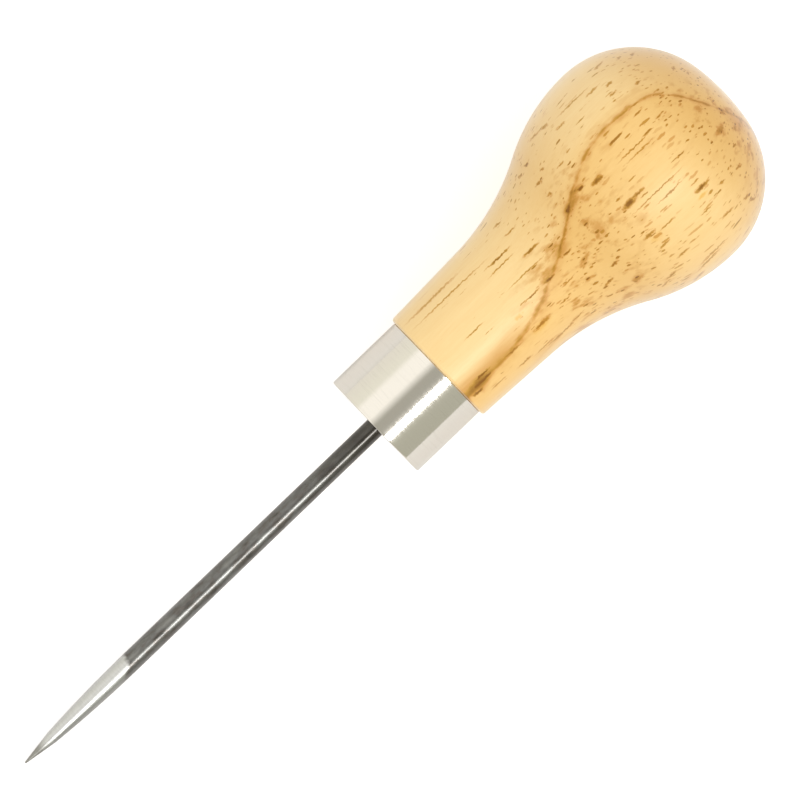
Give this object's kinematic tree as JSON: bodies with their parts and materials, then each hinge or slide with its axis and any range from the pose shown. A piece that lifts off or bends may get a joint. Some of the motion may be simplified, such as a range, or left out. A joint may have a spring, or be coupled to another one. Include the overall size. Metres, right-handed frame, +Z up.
{
  "type": "bradawl",
  "caption": "Bradawl: slim round steel blade with a ground conical point, plated ferrule and pear-shaped turned hardwood handle, lying at rest on its tip and belly.",
  "frame": {"origin": "centre of the tool's box in plan, on the bench that it lies on (z = 0)", "axes": "+X from the tip to the butt along the bench, +Z up; the tool's own axis rises 8.18 degrees from the tip towards the handle, in the XZ plane"},
  "size_m": [0.149, 0.0382, 0.0383],
  "materials": {
    "blade_steel": "hot-rolled scale on the shank, bright ground point",
    "nickel_plate": "polished nickel plate",
    "lacquered_hardwood": "turned, clear lacquer"
  },
  "bodies": {
    "root": {"blade": "blade_steel", "ferrule": "nickel_plate", "handle": "lacquered_hardwood"}
  },
  "joints": []
}
